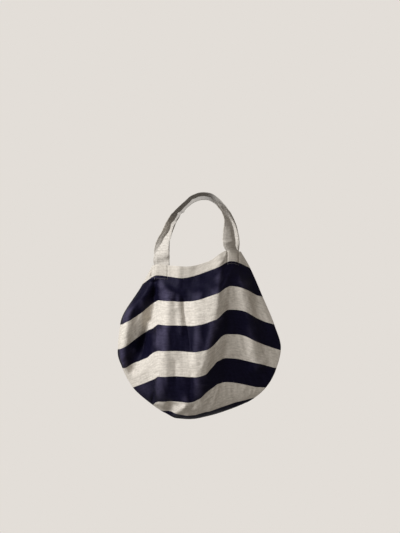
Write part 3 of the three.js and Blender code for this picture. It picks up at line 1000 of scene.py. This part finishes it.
def stitchTree():
    tree, given, out = nodeGroup("stitchRow", "GeometryNodeTree", [
        ("Geometry", "Geometry"),
        ("Stitch Length", "Float", 0.0028),
        ("Stitch Gap", "Float", 0.0009),
        ("Thread Radius", "Float", 0.0003),
        ("Waver", "Float", 0.12),
        ("Seed", "Int", 7),
        ("Thread", "Material"),
    ], [("Geometry", "Geometry")])
    tree.is_modifier = True

    def step(kind, inputs=None, **settings):
        return nodeIn(tree, kind, inputs, **settings).outputs[0]

    curve = step("GeometryNodeMeshToCurve", {"Mesh": given["Geometry"]})
    pitch = calc(tree, "ADD", given["Stitch Length"], given["Stitch Gap"])
    points = step("GeometryNodeResampleCurve", {"Curve": curve, "Length": pitch}, mode="LENGTH")
    ball = step("GeometryNodeMeshUVSphere", {"Segments": 6, "Rings": 5, "Radius": 1.0})
    smooth = step("GeometryNodeSetShadeSmooth", {"Geometry": ball})
    tangent = step("GeometryNodeInputTangent")
    limits = {0: (-1, -1, -1), 1: (1, 1, 1), "Seed": given["Seed"]}
    shake = step("FunctionNodeRandomValue", limits, data_type="FLOAT_VECTOR")
    shake = step("ShaderNodeVectorMath", {0: shake, "Scale": given["Waver"]}, operation="SCALE")
    aim = step("ShaderNodeVectorMath", {0: tangent, 1: shake}, operation="ADD")
    turn = step("FunctionNodeAlignRotationToVector", {"Vector": aim}, axis="Z")
    radius, half = given["Thread Radius"], calc(tree, "MULTIPLY", given["Stitch Length"], 0.5)
    size = step("ShaderNodeCombineXYZ", {"X": radius, "Y": radius, "Z": half})
    stitches = {"Points": points, "Instance": smooth, "Rotation": turn, "Scale": size}
    placed = step("GeometryNodeInstanceOnPoints", stitches)
    real = step("GeometryNodeRealizeInstances", {"Geometry": placed})
    dressed = step("GeometryNodeSetMaterial", {"Geometry": real, "Material": given["Thread"]})
    tree.links.new(dressed, out["Geometry"])
    return tree


stitchNodes = stitchTree()
stitchLook = {"lift": 0.15, "step": 2.5, "hemInset": 5, "handleLift": 0.12, "handleEnd": 2}


def stitchPiece(name, paths, **settings):
    points, edges = [], []
    for path in paths:
        edges += [(len(points) + k, len(points) + k + 1) for k in range(len(path) - 1)]
        points += [tuple(point * mm) for point in path]
    mesh = bpy.data.meshes.new(name)
    mesh.from_pydata(points, edges, [])
    piece = sceneObject(name, mesh)
    modifier = piece.modifiers.new("stitches", "NODES")
    modifier.node_group = stitchNodes
    inputs = [item for item in stitchNodes.interface.items_tree if item.in_out == "INPUT"]
    sockets = {item.name: item.identifier for item in inputs}
    for key, value in {"Thread": threadCloth, **settings}.items():
        modifier[sockets[key]] = value
    evaluated = piece.evaluated_get(bpy.context.evaluated_depsgraph_get())
    finished = bpy.data.meshes.new_from_object(evaluated)
    piece.modifiers.clear()
    piece.data = finished
    finished.name = name
    return piece


def pathOn(surface, corners, face="outer"):
    # a path over a panel through corners given across and below the mouth
    lift = stitchLook["lift"] if face == "outer" else -stitchLook["lift"]
    net = surface[face] + surface["normals"] * lift
    corners = np.array(corners, float)
    places = []
    for a, b in zip(corners[:-1], corners[1:]):
        count = max(int(math.dist(a, b) / stitchLook["step"]), 1)
        places += [mixOf(a, b, k / count) for k in range(count)]
    return [onSurface(surface, net, *place) for place in [*places, corners[-1]]]


def panelStitches(node, strap):
    surface, hemStitch = panelSurfaces[node], panelLook["hemStitch"]
    edges = surface["across"][np.searchsorted(surface["flats"], hemStitch)]
    hemInset = stitchLook["hemInset"]
    hemRow = [(edges[0] + hemInset, hemStitch), (edges[-1] - hemInset, hemStitch)]
    paths = [pathOn(surface, hemRow, face) for face in ("outer", "inner")]
    top, foot = boxLook["top"], boxLook["foot"]
    for ends in (strap["left"], strap["right"]):
        low, high = min(ends) + boxLook["inset"], max(ends) - boxLook["inset"]
        paths.append(pathOn(surface, [(low, top), (low, foot), (high, foot), (high, top), (low, top)]))
    return stitchPiece(node + "_stitches", paths, Seed=3)


def handleStitches(node):
    surface = strapSurfaces[node]
    wide = surface["place"][0, :, 0]
    paths = []
    for edge in (-1, 1):
        column = np.interp(edge * (strapWidth / 2 - strapLook["edgeStitch"]), wide, np.arange(len(wide)))
        left = int(column)
        for face, side, end in (("outer", 1, strapLook["endSteps"]), ("inner", -1, stitchLook["handleEnd"])):
            net = (surface[face] + surface["normals"] * stitchLook["handleLift"] * side)[end:-end]
            paths.append(list(mixOf(net[:, left], net[:, left + 1], column - left)))
    return stitchPiece(node + "_stitches", paths, Seed=11)


stitches = {
    "front_panel": panelStitches("front_panel", frontStrap),
    "back_panel": panelStitches("back_panel", backStrap),
    "front_handle": handleStitches("front_handle"),
    "back_handle": handleStitches("back_handle"),
}
print("stitches made,", sum(len(piece.data.polygons) for piece in stitches.values()), "faces")


# Every piece hangs from the root body; the panels and handles hide the solids they stand for

for node, piece in panels.items():
    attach(piece, "root")
    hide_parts(node)
for node, piece in handles.items():
    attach(piece, "root")
    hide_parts(node)
for piece in stitches.values():
    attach(piece, "root")


# Floor, light and camera

floorLook = {
    "radius": 1.3, "below": -1.55,
    "light": (0.36, 0.35, 0.335), "dark": (0.3384, 0.329, 0.3149), "grain": 30.0, "rough": 0.9,
}


def floorDisc():
    look = floorLook
    rim = [(look["radius"] * math.cos(a), look["radius"] * math.sin(a), look["below"])
           for a in np.linspace(0, 2 * math.pi, 96, endpoint=False)]
    mesh = bpy.data.meshes.new("floor")
    mesh.from_pydata(rim, [], [list(range(len(rim)))])
    mesh.materials.append(mottledMaterial("paleFloor", look))
    sceneObject("floor", mesh)


lighting = {
    "backdrop": (0.768, 0.73, 0.687),
    "ambient": (1.0, 0.94, 0.88),
    "ambientStrength": 0.34,
    "aim": (0.0, 0.0, -0.4),
    # each lamp's place, size, power and colour
    "lamps": {
        "keyLight": ((-1.94, -1.63, 0.78), 1.1, 118, (0.935, 0.957, 1.0)),
        "fillLight": ((2.2, -1.4, -0.2), 2.0, 2, (0.95, 0.97, 1.0)),
        "backLight": ((1.0, 2.6, 2.4), 1.2, 45, (0.97, 0.98, 1.0)),
    },
}


def areaLight(name, place, size, power, colour):
    data = bpy.data.lights.new(name, "AREA")
    data.size, data.energy, data.color = size, power, colour
    light = sceneObject(name, data)
    light.location = place
    towards = Vector(np.array(lighting["aim"]) - np.array(place))
    light.rotation_euler = towards.to_track_quat("-Z", "Y").to_euler()


def worldLight():
    world = bpy.data.worlds.new("studio")
    bpy.context.scene.world = world
    world.use_nodes = True
    tree = world.node_tree
    seen = tree.nodes["Background"]
    seen.inputs["Color"].default_value = (*lighting["backdrop"], 1)
    soft = nodeIn(tree, "ShaderNodeBackground", {
        "Color": (*lighting["ambient"], 1), "Strength": lighting["ambientStrength"],
    })
    path = nodeIn(tree, "ShaderNodeLightPath")
    mixed = nodeIn(tree, "ShaderNodeMixShader", {
        0: path.outputs["Is Camera Ray"], 1: soft.outputs[0], 2: seen.outputs[0],
    })
    tree.links.new(mixed.outputs[0], tree.nodes["World Output"].inputs["Surface"])


cameraView = {"across": -0.00945, "height": -0.2205, "distance": 2.4, "frameHeight": 1.679, "sensor": 36}


def photoCamera():
    data = bpy.data.cameras.new("camera")
    data.sensor_width = cameraView["sensor"]
    data.lens = cameraView["sensor"] * cameraView["distance"] / cameraView["frameHeight"]
    camera = sceneObject("camera", data)
    camera.location = (cameraView["across"], -cameraView["distance"], cameraView["height"])
    camera.rotation_euler = (math.radians(90), 0, 0)
    bpy.context.scene.camera = camera


floorDisc()
worldLight()
for name, lamp in lighting["lamps"].items():
    areaLight(name, *lamp)
photoCamera()
bpy.context.scene.view_settings.view_transform = "Standard"
print("floor, lights and camera made")
